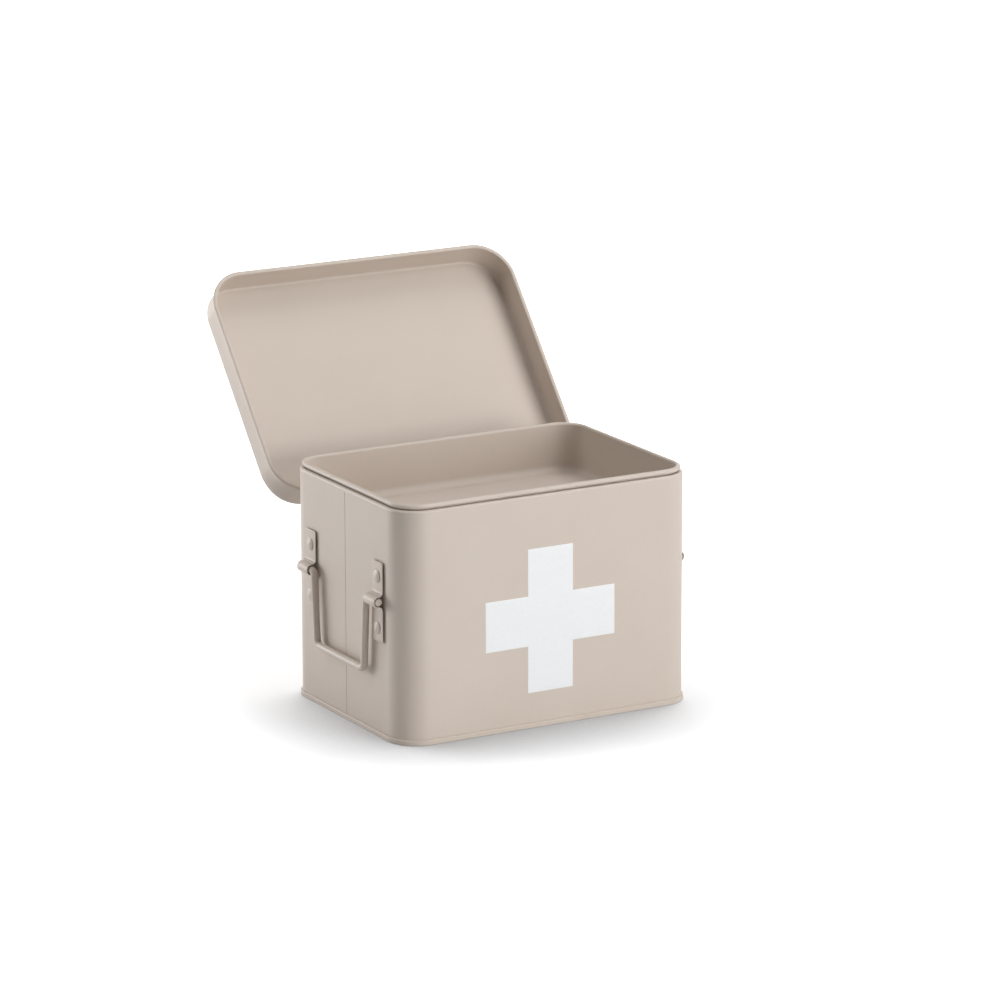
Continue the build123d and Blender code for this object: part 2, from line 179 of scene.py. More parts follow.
@dataclass(frozen=True)
class PowderCoat:
    """Polyester powder coat, sprayed on sheet steel and baked.

    The powder melts into a satin film with a fine orange peel, which breaks the highlights
    up into a soft, even sheen. The film hides the metal, so it shades as a plastic. It is
    drawn a little coarser than the real peel, which is finer than a pixel.

    Attributes:
        name: Name of the material.
        colour: Mean colour of the film.
        pale: Colour where the film lies thick.
        roughness: Mean roughness of the film.
        reflectance: Specular level of the film, which matting powder keeps under the usual half.
        peel_mm: Width of one bump of the orange peel.
        peel_height_mm: Height of the peel.
        grit_mm: Width of the fine texture of the powder's grains.
        grit_height_mm: Height of that texture.
        sheet_mm: Width of the slow waves in the sheet under the film.
        sheet_height_mm: Height of those waves.
        drift_mm: Width of the patches where the film lies a little thicker.
        speckle_mm: Width of the faint speckle of the pigment.
        speckle_share: Weight of the speckle beside the drift.
        thin: Sum of drift and speckle at which the film has its mean colour.
        thick: Sum at which it has its pale one.
        cloud_mm: Width of the patches of a different roughness.
        roughness_drift: How far the roughness strays from its mean.
    """

    name: str
    colour: str = "#CCBFB3"
    pale: str = "#D0C4B9"
    roughness: float = 0.46
    reflectance: float = 0.35
    peel_mm: float = 1.5
    peel_height_mm: float = 0.009
    grit_mm: float = 0.55
    grit_height_mm: float = 0.004
    sheet_mm: float = 70.0
    sheet_height_mm: float = 0.10
    drift_mm: float = 45.0
    speckle_mm: float = 0.9
    speckle_share: float = 0.5
    thin: float = 0.35
    thick: float = 1.15
    cloud_mm: float = 28.0
    roughness_drift: float = 0.04

    def sockets(self, tree: NodeTree, place: NodeSocket) -> Sockets:
        """Film with a relief, a drifting colour and a roughness that varies by hundredths.

        Args:
            tree: Node tree to add to.
            place: Object coordinates.

        Returns:
            Values and links of the shader.
        """
        height = self.relief(tree, place)
        bump = add_node(tree, "ShaderNodeBump", {"Distance": 1.0, "Height": height})
        inputs = {"Vector": place, "Scale": per_metre(self.cloud_mm), "Detail": 2.0}
        cloud = add_node(tree, "ShaderNodeTexNoise", inputs)
        low, high = self.roughness - self.roughness_drift, self.roughness + self.roughness_drift
        gloss = add_node(tree, "ShaderNodeMapRange", {0: cloud.outputs["Fac"], 3: low, 4: high})
        return {
            "Base Color": self.tint(tree, place),
            "Roughness": gloss.outputs["Result"],
            "IOR": RESIN_IOR,
            "Specular IOR Level": self.reflectance,
            "Normal": bump.outputs["Normal"],
        }

    def relief(self, tree: NodeTree, place: NodeSocket) -> NodeSocket:
        """Height of the film in metres: sheet waves, orange peel and grit added up.

        Args:
            tree: Node tree to add to.
            place: Object coordinates.

        Returns:
            Socket with the height.
        """
        total: Any = 0.0
        for size, tall, detail in (
            (self.sheet_mm, self.sheet_height_mm, 0.0),
            (self.peel_mm, self.peel_height_mm, 1.0),
            (self.grit_mm, self.grit_height_mm, 0.0),
        ):
            inputs = {"Vector": place, "Scale": per_metre(size), "Detail": detail}
            wave = add_node(tree, "ShaderNodeTexNoise", inputs)
            inputs = {0: wave.outputs["Fac"], 1: tall * MM, 2: total}
            added = add_node(tree, "ShaderNodeMath", inputs, operation="MULTIPLY_ADD")
            total = added.outputs["Value"]
        return total

    def tint(self, tree: NodeTree, place: NodeSocket) -> NodeSocket:
        """Colour that drifts slowly between thin and thick film, with a faint speckle.

        Args:
            tree: Node tree to add to.
            place: Object coordinates.

        Returns:
            Socket with the colour.
        """
        inputs = {"Vector": place, "Scale": per_metre(self.drift_mm), "Detail": 2.0}
        drift = add_node(tree, "ShaderNodeTexNoise", inputs).outputs["Fac"]
        inputs = {"Vector": place, "Scale": per_metre(self.speckle_mm), "Detail": 0.0}
        speckle = add_node(tree, "ShaderNodeTexNoise", inputs).outputs["Fac"]
        inputs = {0: speckle, 1: self.speckle_share, 2: drift}
        share = add_node(tree, "ShaderNodeMath", inputs, operation="MULTIPLY_ADD")
        inputs = {0: share.outputs["Value"], 1: self.thin, 2: self.thick}
        span = add_node(tree, "ShaderNodeMapRange", inputs).outputs["Result"]
        inputs = {0: span, MIX_A: linear(self.colour), MIX_B: linear(self.pale)}
        return add_node(tree, "ShaderNodeMix", inputs, data_type="RGBA").outputs[MIX_OUT]


@dataclass(frozen=True)
class ScreenInk:
    """White screen-printing ink, cured on the powder coat.

    The film is so thin that the orange peel shows through it, softened. It is a touch
    glossier than the coat around it.

    Attributes:
        name: Name of the material.
        colour: Colour of the ink.
        shade: Colour where the mesh of the screen laid less ink.
        roughness: Roughness of the cured ink.
        mesh_mm: Pitch of the screen's mesh, drawn coarser than the real one.
        peel_mm: Width of the bumps of the coat under the ink.
        peel_height_mm: Height of those bumps through the ink.
    """

    name: str = "white_ink_screen_printed"
    colour: str = "#EFF1F2"
    shade: str = "#E9EAEA"
    roughness: float = 0.38
    mesh_mm: float = 0.8
    peel_mm: float = 1.5
    peel_height_mm: float = 0.006

    def sockets(self, tree: NodeTree, place: NodeSocket) -> Sockets:
        """Film with the screen's grain in its colour, and the coat's peel in its relief.

        Args:
            tree: Node tree to add to.
            place: Object coordinates.

        Returns:
            Values and links of the shader.
        """
        inputs = {"Vector": place, "Scale": per_metre(self.peel_mm), "Detail": 1.0}
        peel = add_node(tree, "ShaderNodeTexNoise", inputs).outputs["Fac"]
        inputs = {"Distance": self.peel_height_mm * MM, "Height": peel}
        bump = add_node(tree, "ShaderNodeBump", inputs)
        inputs = {"Vector": place, "Scale": per_metre(self.mesh_mm), "Detail": 0.0}
        grain = add_node(tree, "ShaderNodeTexNoise", inputs).outputs["Fac"]
        inputs = {0: grain, MIX_A: linear(self.colour), MIX_B: linear(self.shade)}
        mix = add_node(tree, "ShaderNodeMix", inputs, data_type="RGBA")
        return {
            "Base Color": mix.outputs[MIX_OUT],
            "Roughness": self.roughness,
            "IOR": RESIN_IOR,
            "Normal": bump.outputs["Normal"],
        }


Finish = PowderCoat | ScreenInk


@cache
def material(finish: Finish) -> Material:
    """Material of a finish, made the first time that it is asked for."""
    return new_material(finish.name, finish.sockets)


@dataclass(frozen=True)
class Finishes:
    """The finishes of the whole box, shared by the pieces."""

    sheet: PowderCoat = PowderCoat("powder_coat_on_drawn_sheet")
    stamping: PowderCoat = PowderCoat(
        "powder_coat_on_small_stampings", peel_mm=1.1, sheet_mm=18.0, sheet_height_mm=0.02
    )
    wire: PowderCoat = PowderCoat(
        "powder_coat_on_bent_wire", peel_mm=1.1, sheet_mm=12.0, sheet_height_mm=0.015
    )
    ink: ScreenInk = ScreenInk()


def ring_surface(name: str, stacks: Array) -> Object:
    """Closed surfaces in one mesh, each through a stack of rings with its ends closed.

    Vertex k of ring i is joined to vertex k + 1 of the same ring and to vertex k of ring
    i + 1, and the first and last rings are joined by fans to their mean points. The faces
    are turned outwards when the enclosed volume, a sixth of the sum of a, b x c over the
    triangles, comes out negative.

    Args:
        name: Name of the object.
        stacks: Stack by ring by point by coordinate, in millimetres, all of one shape.

    Returns:
        The object, at the origin, with smooth shading.
    """
    number, count, around, _ = stacks.shape
    poles = stacks[:, [0, -1]].mean(axis=2)
    points = np.concatenate([stacks.reshape(number, -1, 3), poles], axis=1) * MM
    here = np.arange(around)
    after = (here + 1) % around
    rows = np.arange(count - 1)[:, None] * around
    quads = np.stack(
        [rows + here, rows + after, rows + around + after, rows + around + here], axis=-1
    ).reshape(-1, 4)
    pole, last = np.full(around, count * around), (count - 1) * around
    fans = np.stack([[pole, after, here], [pole + 1, last + here, last + after]])
    fans = np.swapaxes(fans, 1, 2).reshape(-1, 3)
    split = np.concatenate([quads[:, [0, 1, 2]], quads[:, [0, 2, 3]], fans])
    a, b, c = np.swapaxes(points[0][split], 0, 1)
    if np.sum(a * np.cross(b, c)) < 0:
        quads, fans = quads[:, ::-1], fans[:, ::-1]
    faces = []
    for start in np.arange(number) * points.shape[1]:
        faces += (quads + start).tolist() + (fans + start).tolist()
    mesh = bpy.data.meshes.new(name)
    mesh.from_pydata(points.reshape(-1, 3).tolist(), [], faces)
    mesh.shade_smooth()
    return placed(name, mesh)


def rounded_path(points: Array, radii: list[float], step_deg: float) -> Array:
    """Line through points in a plane, each inner corner rounded by an arc of its radius.

    At a corner that turns by an angle a, the arc of radius r starts r tan(a / 2) before the
    corner and ends as far after it, and its middle lies r to the inside of the path.

    Args:
        points: Corner points, two numbers a row.
        radii: Radius at each inner corner.
        step_deg: Turn between the points of an arc.

    Returns:
        Points along the line, two numbers a row.
    """
    ways = np.diff(points, axis=0)
    ways /= np.linalg.norm(ways, axis=1, keepdims=True)
    pieces = [points[:1]]
    for corner, before, after, radius in zip(points[1:], ways, ways[1:], radii):
        turn = math.atan2(before[0] * after[1] - before[1] * after[0], before @ after)
        start = corner - before * radius * math.tan(abs(turn) / 2)
        inward = np.array([-before[1], before[0]]) * math.copysign(1.0, turn)
        count = max(3, int(abs(math.degrees(turn)) / step_deg) + 1)
        angles = np.linspace(0.0, abs(turn), count)[:, None]
        pieces.append(start + radius * (np.sin(angles) * before + (1 - np.cos(angles)) * inward))
    return np.concatenate([*pieces, points[-1:]])


def distances(path: Array) -> Array:
    """Distance along a line from its start to each of its points."""
    return np.r_[0.0, np.cumsum(np.linalg.norm(np.diff(path, axis=0), axis=1))]


def read_at(path: Array, places: Array) -> Array:
    """Points of a line at the given distances along it."""
    along = distances(path)
    return np.stack([np.interp(places, along, column) for column in path.T], axis=1)


def spaced(path: Array, step: float) -> Array:
    """The same line with points added until none are further apart than the step."""
    along = distances(path)
    return read_at(path, np.unique(np.round(np.r_[along, np.arange(0.0, along[-1], step)], 4)))


def fine_ends(path: Array, radius: float, count: int) -> tuple[Array, Array]:
    """Adds points at r (1 - cos t) from both ends of a line, for corners of a radius r.

    Args:
        path: Points along a line.
        radius: Radius of the corners.
        count: Number of points on a corner.

    Returns:
        The points, and how far each lies inside the nearer end.
    """
    along = distances(path)
    fine = radius * (1 - np.cos(np.radians(np.linspace(0.0, 90.0, count))))
    places = np.unique(np.round(np.r_[fine, along, along[-1] - fine], 5))
    return read_at(path, places), np.minimum(places, places[-1] - places)


def across(path: Array) -> Array:
    """Unit normals of a line in a plane, to the left of its direction at each point.

    Args:
        path: Points along the line, two numbers a row.

    Returns:
        One normal for each point.
    """
    ahead = np.gradient(path, axis=0)
    ahead /= np.linalg.norm(ahead, axis=1, keepdims=True)
    return np.stack([-ahead[:, 1], ahead[:, 0]], axis=1)


def arc(centre: tuple[float, float], radius: float, span: tuple[float, float], count: int) -> Array:
    """Points centre + r (cos t, sin t) in a plane, for t evenly over a span in degrees."""
    angles = np.radians(np.linspace(*span, count))
    return np.array(centre) + radius * np.stack([np.cos(angles), np.sin(angles)], axis=1)


def circle(count: int) -> tuple[Array, Array]:
    """Cosines and sines of this many angles, spaced evenly round a full turn."""
    turn = np.linspace(0.0, 2 * math.pi, count, endpoint=False)
    return np.cos(turn), np.sin(turn)


def quarter_loss(inside: Array, radius: float) -> Array:
    """What a rounded corner takes off: r - sqrt(r^2 - (r - d)^2) at a distance d inside the end."""
    left = np.clip(radius - inside, 0.0, radius)
    return radius - np.sqrt(radius**2 - left**2)


def eased(share: Array | float) -> Array | float:
    """Share from 0 to 1 that starts and ends gently: 3 k^2 - 2 k^3."""
    return share * share * (3 - 2 * share)


@dataclass
class Piece:
    """Something made here that rides on a body and stands for a CAD node."""

    finishes: Finishes

    def make(
        self, name: str, stacks: Array, finish: Finish, body: str, node: str, slot: Slot = Slot.COAT
    ) -> None:
        """Makes a mesh with its material and its body, in place of the node that it stands for.

        Args:
            name: Name of the object.
            stacks: Rings of its surfaces.
            finish: Finish of its whole surface.
            body: CAD body that it moves with.
            node: CAD node that it replaces.
            slot: Material slot of the record; not used.
        """
        piece = ring_surface(name, stacks)
        piece.data.materials.append(material(finish))
        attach(piece, body)
        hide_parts(node)
        log.info("%s: %d vertices, rides on %s", name, len(piece.data.vertices), body)


@dataclass
class Strap(Piece):
    """Thin strap that is bent over the handle's wire and riveted on over washers.

    Its rise and drop, and the places of its rivets, are counted from the wire's axis.
    """

    sheet: float = 0.6
    standoff: float = 0.9
    width: float = 14.0
    rise: float = 25.2
    drop: float = 27.2
    corner: float = 1.2
    spacing: float = 91.4
    bend_radius: float = 3.0
    wire_radius: float = 2.4
    wire_clearance: float = 0.75
    axis_height: float = 91.2
    axis_offset: float = 4.2
    wall: float = 107.5
    edge: float = 0.2
    step: float = 0.8
    upper_rivet: float = 15.4
    lower_rivet: float = -18.5

    def line(self) -> Array:
        """Middle of the sheet seen along Y: distance from the wall, then height.

        It runs up beside the wall, turns out, goes half round the wire, turns back and runs
        on up: straight stretches joined by arcs about the wire's axis and about two points
        outside the wall.

        Returns:
            Points from the lower to the upper end.
        """
        half = self.sheet / 2
        inside = self.wire_radius + self.wire_clearance
        axis, beyond = self.axis_height, inside + self.bend_radius
        centre, small = self.standoff + self.bend_radius, self.bend_radius - half
        flat = self.standoff + half
        return np.concatenate(
            [
                [[flat, axis - self.drop]],
                arc((centre, axis - beyond), small, (180.0, 90.0), 13),
                arc((self.axis_offset, axis), inside + half, (-90.0, 90.0), 33),
                arc((centre, axis + beyond), small, (270.0, 180.0), 13),
                [[flat, axis + self.rise]],
            ]
        )

    def rings(self) -> Array:
        """Rounded rectangles carried along the middle line, narrowed and thinned at both ends.

        Near an end, at a distance d inside it, the half width loses
        r - sqrt(r^2 - (r - d)^2) for the corner radius r, and the half thickness the same for
        the edge radius, so the corners are round and the cut edges soft.

        Returns:
            Ring by point by coordinate: distance from the wall, place along it, height.
        """
        path, inside = fine_ends(spaced(self.line(), self.step), self.corner, 14)
        normal = across(path)
        half_width = self.width / 2 - quarter_loss(inside, self.corner)
        half_sheet = self.sheet / 2 - quarter_loss(inside, self.edge)
        cos, sin = circle(56)
        flat_side, flat_face = np.sign(np.round(cos, 9)), np.sign(np.round(sin, 9))
        wide = (half_width[:, None] - self.edge) * flat_side + self.edge * cos
        thick = np.maximum(half_sheet[:, None] - self.edge, 0.0) * flat_face + self.edge * sin
        out = path[:, 0:1] + normal[:, 0:1] * thick
        up = path[:, 1:2] + normal[:, 1:2] * thick
        return np.stack([out, wide, up], axis=-1)

    def build(self, side: Side, end: End) -> None:
        """Makes one strap.

        Args:
            side: Wall that it is riveted to.
            end: Its place along that wall.
        """
        place = [side.value * self.wall, end.value * self.spacing / 2, 0.0]
        rings = self.rings() * [side.value, 1.0, 1.0] + place
        node = f"strap_{side.label}_{end.name.lower()}"
        self.make(f"{node}_formed", rings[None], self.finishes.stamping, "box", node)


@dataclass
class DomedRivets(Piece):
    """Rivets with a low domed head outside and a flattened tail inside.

    Attributes:
        tail: Outline of the hammered tail, as shares of its radius and of its height.
        head_rim: Outline of the head's short rim: what its radius loses, in millimetres,
            and the share of the rim's height.
        shoulder: How far the rim is drawn in where the dome starts, half as high above it.
    """

    head_radius: float = 4.2
    head_height: float = 1.4
    shank: float = 1.6
    tail_radius: float = 2.5
    tail_height: float = 0.7
    grip: float = 1.9
    rim: float = 0.3
    shoulder: float = 0.10
    tail: Pairs = ((0.45, 0.0), (0.85, 0.04), (1.0, 0.35), (1.0, 0.9), (0.97, 1.0))
    head_rim: Pairs = ((-0.02, 0.0), (0.0, 0.35), (-0.02, 0.75))

    def section(self) -> Array:
        """Half section: radius, then height above the gripped metal.

        The head is an arc of the ball of radius (a^2 + h^2) / 2h above a short rounded rim,
        where a is its half width and h its height over that rim.

        Returns:
            Points from the tail's middle to the top of the head.
        """
        wide, tall = self.head_radius, self.head_height - self.rim
        ball = (wide**2 + tall**2) / (2 * tall)
        sweep = np.linspace(math.asin(wide / ball), 0.0, 22)[2:-1]
        under = -self.grip
        return np.concatenate(
            [
                np.array(self.tail) * [self.tail_radius, self.tail_height]
                + [0.0, under - self.tail_height],
                [[self.shank, under], [self.shank, 0.0]],
                np.array(self.head_rim) * [1.0, self.rim] + [wide, 0.0],
                [[wide - self.shoulder, self.rim + self.shoulder / 2]],
                np.stack([ball * np.sin(sweep), self.rim + tall - ball + ball * np.cos(sweep)], 1),
            ]
        )

    def build(
        self, node: str, body: str, centres: Array, outward: Array, beside: Array
    ) -> None:
        """Makes a group of rivets as one mesh of turned surfaces.

        A point of the section at radius r and height h goes to
        centre + h * outward + r * (cos t * beside + sin t * outward x beside).

        Args:
            node: CAD node that it stands for.
            body: Body that it rides on.
            centres: Middle of each head's base, in millimetres.
            outward: Unit direction in which the heads point.
            beside: Unit direction along the metal.
        """
        radius, height = self.section().T[..., None, None]
        cos, sin = circle(48)
        ring = cos[:, None] * beside + sin[:, None] * np.cross(outward, beside)
        one = radius * ring + height * outward
        rivets = one + centres[:, None, None]
        self.make(f"{node}_domed", rivets, self.finishes.stamping, body, node)


@dataclass
class LeafRivets(DomedRivets):
    """Small rivets that hold the hinge leaves."""

    head_radius: float = 2.0
    head_height: float = 0.9
    shank: float = 1.1
    tail_radius: float = 1.8
    rim: float = 0.15


@dataclass
class WireHandle(Piece):
    """Round wire bent into a swinging handle, with its ends through the two straps."""

    strap: Strap
    drop: float = 48.8
    lean_deg: float = 4.1
    top_bend: float = 2.9
    grip_bend: float = 4.6
    side_play: float = 0.3
    end_reach: float = 0.3
    end_round: float = 0.45
    step: float = 1.6

    def line(self) -> Array:
        """Middle line in the plane of the handle, from one end through the grip to the other.

        The wire runs from each end to a bend just inside its strap, then down with a lean a
        away from that strap, so the grip's corner lies drop * tan a further in.

        Returns:
            Place along the wall, then height, of each point.
        """
        inner_end = (self.strap.spacing - self.strap.width) / 2 - self.side_play
        lean = math.radians(self.lean_deg)
        top_corner = inner_end - self.top_bend * math.tan((math.pi / 2 - lean) / 2)
        grip_corner = top_corner - self.drop * math.tan(lean)
        end = (self.strap.spacing + self.strap.width) / 2 + self.end_reach
        top = self.strap.axis_height
        half = [[end, top], [top_corner, top], [grip_corner, top - self.drop]]
        other = [[-y, z] for y, z in reversed(half)]
        radii = [self.top_bend, self.grip_bend, self.grip_bend, self.top_bend]
        return rounded_path(np.array(half + other), radii, 4.0)

    def rings(self) -> Array:
        """Circles carried along the line, drawn in at both sheared ends.

        At a distance d inside an end the radius loses what a rounded corner takes off, so
        the end is flat with a soft edge under the film.

        Returns:
            Ring by point by coordinate: across the handle's plane, along the wall, height.
        """
        path, inside = fine_ends(spaced(self.line(), self.step), self.end_round, 9)
        normal = across(path)
        radius = self.strap.wire_radius - quarter_loss(inside, self.end_round)
        side, out = (radius[:, None] * turn for turn in circle(40))
        along = path[:, 0:1] + normal[:, 0:1] * side
        up = path[:, 1:2] + normal[:, 1:2] * side
        return np.stack([out, along, up], axis=-1)

    def build(self, side: Side) -> None:
        """Makes one handle.

        Args:
            side: Wall that it hangs on.
        """
        axis = side.value * (self.strap.wall + self.strap.axis_offset)
        node = f"handle_{side.label}"
        rings = self.rings() + [axis, 0.0, 0.0]
        self.make(f"{node}_wire", rings[None], self.finishes.wire, node, node)


@dataclass
class CrossPrint(Piece):
    """Even-armed cross of ink on the front wall."""

    size: float = 95.4
    arm: float = 33.2
    centre_height: float = 71.2
    wall: float = 77.0
    film: float = 0.12
    corner: float = 0.35
    step: float = 2.0

    def outline(self) -> Array:
        """Outline of the cross with every corner rounded slightly, counter-clockwise.

        Three corners at (s, a), (a, a) and (a, s), for half the size s and half an arm's
        width a, are turned by a quarter three times.

        Returns:
            Points, two numbers a row.
        """
        a, s = self.arm / 2, self.size / 2
        quarter = np.array([[s, a], [a, a], [a, s]])
        spin = np.array([[0.0, -1.0], [1.0, 0.0]])
        corners = [quarter]
        for _ in range(3):
            corners.append(corners[-1] @ spin.T)
        points = np.concatenate(corners)
        start = (points[0] + points[-1]) / 2
        closed = np.concatenate([start[None], points, start[None]])
        path = rounded_path(closed, [self.corner] * len(points), 15.0)
        return spaced(path, self.step)[:-1]

    def build(self) -> None:
        """Makes the print as rings that shrink to the middle, with a soft edge.

        Ring k is the outline times a share from 0 to 1. The face lies one film thickness
        before the wall, the edge falls to the wall over a quarter circle, and the back lies
        on the wall.
        """
        outline = self.outline()
        shares = np.linspace(0.05, 1.0, 18)
        fall = np.radians(np.linspace(0.0, 90.0, 5))
        edge = 1.0 - (1.0 - np.sin(fall)) * self.film / (self.size / 2)
        scale = np.r_[shares[:-1], edge, shares[::-1]]
        height = np.r_[
            np.full(len(shares) - 1, self.film), self.film * np.cos(fall), np.zeros(len(shares))
        ]
        x, z = np.moveaxis(scale[:, None, None] * outline, -1, 0)
        y = -self.wall - height[:, None]
        rings = np.stack(np.broadcast_arrays(x, y, self.centre_height + z), axis=-1)
        ink = self.finishes.ink
        self.make("cross_print_ink", rings[None], ink, "box", "cross_print", Slot.PRINT)


@dataclass(frozen=True)
class LidHinge:
    """Line that the lid turns about, and how far open it stands.

    Attributes:
        y: Place of the line behind the middle of the box, in millimetres.
        height: Its height.
        open_deg: Angle from shut to open.
    """

    y: float = 79.15
    height: float = 136.3221
    open_deg: float = 130.0

    def swung(self, points: Array) -> Array:
        """Turns points of the shut lid back to where the open lid holds them.

        A distance (dy, dz) from the hinge line turns by the open angle a to
        (dy cos a + dz sin a, dz cos a - dy sin a).

        Args:
            points: Points of the shut lid, the last axis X, Y and Z.

        Returns:
            The same points on the open lid.
        """
        cos, sin = math.cos(math.radians(self.open_deg)), math.sin(math.radians(self.open_deg))
        dy, dz = points[..., 1] - self.y, points[..., 2] - self.height
        turned = [points[..., 0], self.y + dy * cos + dz * sin, self.height + dz * cos - dy * sin]
        return np.stack(turned, axis=-1)


@dataclass
class Lid(Piece):
    """Drawn lid with a tight bend at its top and a rolled rim, pressed flat at the hinges.

    Attributes:
        bead: Half the width of the rim's bead.
        bead_height: Half its height.
        bead_proud: How far the bead stands out of the lid's outline.
        flare: Height over which the skirt comes out to the bead.
        rear_bead: Half the width and height of the bead along the back.
        setback: How far the skirt lies inside the outline on the front and sides.
        rear_from: How far a point's normal has to face back for the rear's form to begin.
        rear_span: How much further back it faces where that form is complete.
        hem: Height of the flat hem under a hinge leaf.
        press_from: Turn along the bead, in radians, past which a leaf presses it flat.
        press_span: Turn over which that sets in.
    """

    hinge: LidHinge = LidHinge()
    width: float = 227.4
    depth: float = 165.4
    corner: float = 25.6
    sheet: float = 0.6
    top: float = 158.61
    rim: float = 137.61
    bend: float = 2.4
    bead: float = 1.4
    bead_height: float = 0.95
    bead_proud: float = 0.6
    flare: float = 5.0
    rear_bead: float = 1.1
    setback: float = 1.2
    rear_from: float = 0.2
    rear_span: float = 0.7
    hem: float = 4.6
    press_from: float = 2.4
    press_span: float = 0.74
    hinge_middle: float = 62.0
    hinge_length: float = 30.0
    hinge_play: float = 1.0
    blend: float = 7.0
    step: float = 1.6

    def outline(self) -> tuple[Array, Array]:
        """Outline of the lid from above, with the outward normal at each point.

        Each corner is a quarter circle of 25 points, and points one step apart at most fill
        the straight sides between two corners.

        Returns:
            Points and normals, two numbers a row.
        """
        reach = np.array([self.width, self.depth]) / 2 - self.corner
        middles = np.array([[1, 1], [-1, 1], [-1, -1], [1, -1], [1, 1]]) * reach
        points, normals = [], []
        for quarter, (middle, following) in enumerate(zip(middles, middles[1:])):
            facing = arc((0.0, 0.0), 1.0, (90.0 * quarter, 90.0 * quarter + 90.0), 25)
            rounded = middle + self.corner * facing
            count = int(np.linalg.norm(following - middle) / self.step) + 1
            shares = np.linspace(0.0, 1.0, count + 1)[1:-1, None]
            points += [rounded, rounded[-1] + shares * (following - middle)]
            normals += [facing, np.repeat(facing[-1:], count - 1, axis=0)]
        return np.concatenate(points), np.concatenate(normals)

    def flatness(self, points: Array) -> Array:
        """One where a hinge leaf lies on the rim, nought elsewhere, eased by a cosine between.

        Args:
            points: Points of the outline.

        Returns:
            Share from 0 to 1 at each point.
        """
        beyond = np.abs(np.abs(points[:, 0]) - self.hinge_middle) - self.hinge_length / 2
        share = np.clip((beyond - self.hinge_play) / self.blend, 0.0, 1.0)
        rear = points[:, 1] > self.depth / 2 - self.corner / 2
        return np.where(rear, (1 + np.cos(math.pi * share)) / 2, 0.0)

    def section(self, points: Array, normals: Array) -> Array:
        """Section of the sheet at each point of the outline, from the top round to the inside.

        The section starts on top, turns down a bend of radius b and follows the skirt at an
        inset w, then flares out to the bead by w + (q - w) (3 k^2 - 2 k^3). The bead goes
        round as inset = c - a cos t, height = rim + h (1 - sin t), from t = 0 to the t where
        its inset is that of the skirt's inner face, and the section comes back inside the
        bend. On the front and sides the skirt is set back, so the bead stands out. Towards
        the back, the skirt comes out flush with it, and at a hinge the bead is pressed to a
        flat hem of two sheets.

        Args:
            points: Points of the outline.
            normals: Outward normal at each.

        Returns:
            Inset, then height: two by row by point.
        """
        flat = self.flatness(points)
        rear = eased(np.clip((normals[:, 1] - self.rear_from) / self.rear_span, 0.0, 1.0))
        inset, proud = self.setback * (1 - rear), self.bead_proud * (1 - rear)
        half = self.bead + (self.rear_bead - self.bead) * rear
        half = half + (self.sheet - half) * flat
        tall = self.bead_height + (self.rear_bead - self.bead_height) * rear
        middle = half - proud
        inner, level = self.bend - self.sheet, self.top - self.bend
        bend = np.radians(np.linspace(0.0, 90.0, 9))[:, None]
        last = 2 * math.pi - np.arccos(np.clip((middle - inset - self.sheet) / half, -1.0, 1.0))
        turn = np.linspace(0.0, 1.0, 30)[:, None] * last
        press = np.clip((turn - self.press_from) / self.press_span, 0.0, 1.0)
        lift = (self.hem - 2 * self.rear_bead) * flat * press
        around = self.rim + tall * (1 - np.sin(turn)) + lift
        flared, meet = around[0] + self.flare, around[-1]
        down, out = np.linspace(0.0, 1.0, 6)[1:, None], np.linspace(0.0, 1.0, 14)[1:-1, None]
        back = np.linspace(0.05, 1.0, 7)[:, None]
        # Inset and height of the bend, skirt, flare, bead, inner face and inner bend
        rows = (
            (inset + self.bend * (1 - np.sin(bend)), level + self.bend * np.cos(bend)),
            (inset, level + down * (flared - level)),
            (inset - (inset + proud) * eased(out), flared - out * self.flare),
            (middle - half * np.cos(turn), around),
            (inset + self.sheet, meet + back * (level - meet)),
            (inset + self.bend - inner * np.cos(bend[1:]), level + inner * np.sin(bend[1:])),
        )
        return np.concatenate([np.stack(np.broadcast_arrays(*row)) for row in rows], axis=1)

    def build(self) -> None:
        """Carries the section round the outline, and closes it over and under the middle.

        A ring of the section at an inset w is the outline less w times its normal. The flat
        panel is the first and the last ring, shrunk to the middle in steps.
        """
        points, normals = self.outline()
        inset, height = self.section(points, normals)[..., None]
        rings = np.concatenate([points - inset * normals, height], axis=-1)
        shares = np.array([0.04, 0.25, 0.5, 0.7, 0.85, 0.95])
        spread = np.stack([shares, shares, np.ones(len(shares))], axis=1)[:, None, :]
        shut = np.concatenate([rings[:1] * spread, rings, rings[-1:] * spread[::-1]])
        rings = self.hinge.swung(shut)
        self.make("lid_rolled_rim", rings[None], self.finishes.sheet, "lid", "lid")


@dataclass
class SheetMetal:
    """Pieces whose CAD meshes are shown as they are: walls, bottom, tray and hinges."""

    finishes: Finishes
    drawn: tuple[str, ...] = ("body_shell", "base_panel", "tray", "tray_rails")
    paired: tuple[str, ...] = ("hinge_body_leaf", "hinge_lid_leaf", "hinge_pin", "strap_washers")

    def build(self) -> None:
        """Gives every shown CAD node its coat."""
        small = tuple(f"{name}_{side.label}" for name in self.paired for side in Side)
        for name in self.drawn + small:
            finish = self.finishes.stamping if name in small else self.finishes.sheet
            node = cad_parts[name]
            node.data.materials.clear()
            node.data.materials.append(material(finish))
            log.info("%s: CAD mesh with %s", name, finish.name)


